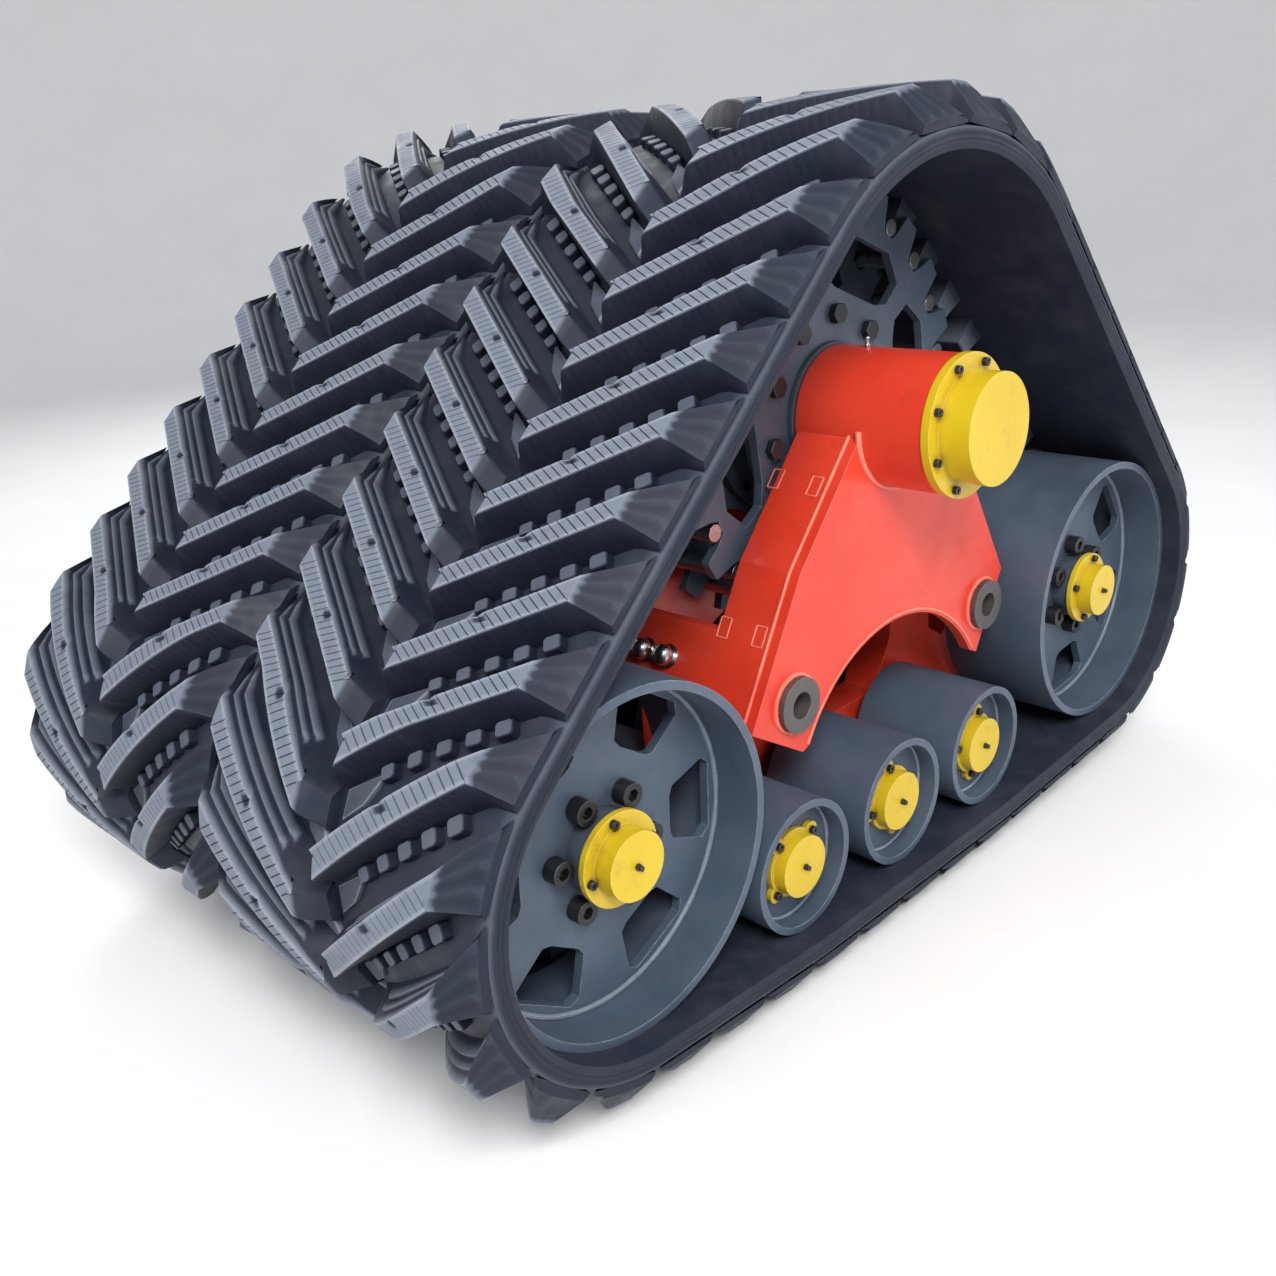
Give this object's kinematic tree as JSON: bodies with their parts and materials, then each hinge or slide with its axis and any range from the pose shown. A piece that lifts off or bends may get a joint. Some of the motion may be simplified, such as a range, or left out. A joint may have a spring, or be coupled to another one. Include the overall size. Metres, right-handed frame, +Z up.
{
  "type": "tracked chassis",
  "caption": "Twin-track crawler chassis: rubber tracks on a raised drive sprocket, end idlers, road rollers and a welded frame with a sliding tensioner.",
  "frame": {"origin": "on the ground plane, at the middle of the chassis in length and width", "axes": "+X runs from the front idlers to the rear idlers, +Y across from the near track to the far track, +Z up"},
  "size_m": [2.0106, 1.375, 1.3143],
  "materials": {
    "bearing_steel": "ground steel",
    "black_oxide": "black oxide",
    "bush_steel": "bare dark steel",
    "cap_yellow": "gloss yellow enamel",
    "dark_casting": "dark painted casting",
    "frame_paint": "gloss orange-red enamel",
    "shaft_steel": "turned steel",
    "track_rubber": "matte moulded rubber",
    "wheel_paint": "satin blue-grey",
    "zinc": "bright zinc"
  },
  "bodies": {
    "frame": {"centre_beam_far": "frame_paint", "centre_beam_near": "frame_paint", "centre_tube": "frame_paint", "cross_tubes": "frame_paint", "drive_bearings": "bearing_steel", "foot_bolts": "zinc", "front_web_far": "frame_paint", "front_web_near": "frame_paint", "hub_cap_screws": "black_oxide", "hub_caps": "cap_yellow", "hub_tube_far": "frame_paint", "hub_tube_near": "frame_paint", "inner_plate_far": "frame_paint", "inner_plate_near": "frame_paint", "outer_plate_far": "frame_paint", "outer_plate_near": "frame_paint", "pivot_bushes": "bush_steel", "rear_idler_bearings": "bearing_steel", "rear_web_far": "frame_paint", "rear_web_near": "frame_paint", "roller_bearings": "bearing_steel", "tension_cylinders": "shaft_steel", "track_far": "track_rubber", "track_near": "track_rubber", "tube_nipples": "zinc"},
    "drive": {"drive_bars": "shaft_steel", "drive_shaft": "shaft_steel", "sprocket_bolts": "black_oxide", "sprocket_discs_far": "wheel_paint", "sprocket_discs_near": "wheel_paint", "sprocket_hubs": "dark_casting"},
    "front_idlers": {"front_idler_axle": "shaft_steel", "front_idler_cap_fittings": "black_oxide", "front_idler_caps": "cap_yellow", "front_idler_hubs": "dark_casting", "front_idler_wheel_bolts": "black_oxide", "front_idler_wheels_far": "wheel_paint", "front_idler_wheels_near": "wheel_paint"},
    "tensioner": {"front_idler_bearings": "bearing_steel", "tensioner_arms": "frame_paint"},
    "rear_idlers": {"rear_idler_axle": "shaft_steel", "rear_idler_cap_fittings": "black_oxide", "rear_idler_caps": "cap_yellow", "rear_idler_hubs": "dark_casting", "rear_idler_wheel_bolts": "black_oxide", "rear_idler_wheels_far": "wheel_paint", "rear_idler_wheels_near": "wheel_paint"},
    "roller_line_1": {"roller_1_cap_fittings": "black_oxide", "roller_1_caps": "cap_yellow", "roller_1_drums": "wheel_paint", "roller_1_shaft": "shaft_steel"},
    "roller_line_2": {"roller_2_cap_fittings": "black_oxide", "roller_2_caps": "cap_yellow", "roller_2_drums": "wheel_paint", "roller_2_shaft": "shaft_steel"},
    "roller_line_3": {"roller_3_cap_fittings": "black_oxide", "roller_3_caps": "cap_yellow", "roller_3_drums": "wheel_paint", "roller_3_shaft": "shaft_steel"}
  },
  "joints": [
    {"name": "drive_spin", "type": "hinge", "parent": "frame", "child": "drive", "pos_m": [0.0357, 0, 0.8285], "axis": [0, 1, 0], "continuous": true},
    {"name": "tension_slide", "type": "slide", "parent": "frame", "child": "tensioner", "axis": [1, 0, 0], "range_m": [0, 0.02]},
    {"name": "front_idler_spin", "type": "hinge", "parent": "tensioner", "child": "front_idlers", "pos_m": [-0.6553, 0, 0.3715], "axis": [0, 1, 0], "continuous": true},
    {"name": "rear_idler_spin", "type": "hinge", "parent": "frame", "child": "rear_idlers", "pos_m": [0.6553, 0, 0.3715], "axis": [0, 1, 0], "continuous": true},
    {"name": "roller_1_spin", "type": "hinge", "parent": "frame", "child": "roller_line_1", "pos_m": [-0.3068, 0, 0.205], "axis": [0, 1, 0], "continuous": true},
    {"name": "roller_2_spin", "type": "hinge", "parent": "frame", "child": "roller_line_2", "pos_m": [-0.0447, 0, 0.205], "axis": [0, 1, 0], "continuous": true},
    {"name": "roller_3_spin", "type": "hinge", "parent": "frame", "child": "roller_line_3", "pos_m": [0.2174, 0, 0.205], "axis": [0, 1, 0], "continuous": true}
  ],
  "couplings": [
    {"joint": "front_idler_spin", "follows": "drive_spin", "ratio": 1.5354},
    {"joint": "rear_idler_spin", "follows": "drive_spin", "ratio": 1.5354},
    {"joint": "roller_1_spin", "follows": "drive_spin", "ratio": 3.5616},
    {"joint": "roller_2_spin", "follows": "drive_spin", "ratio": 3.5616},
    {"joint": "roller_3_spin", "follows": "drive_spin", "ratio": 3.5616}
  ]
}
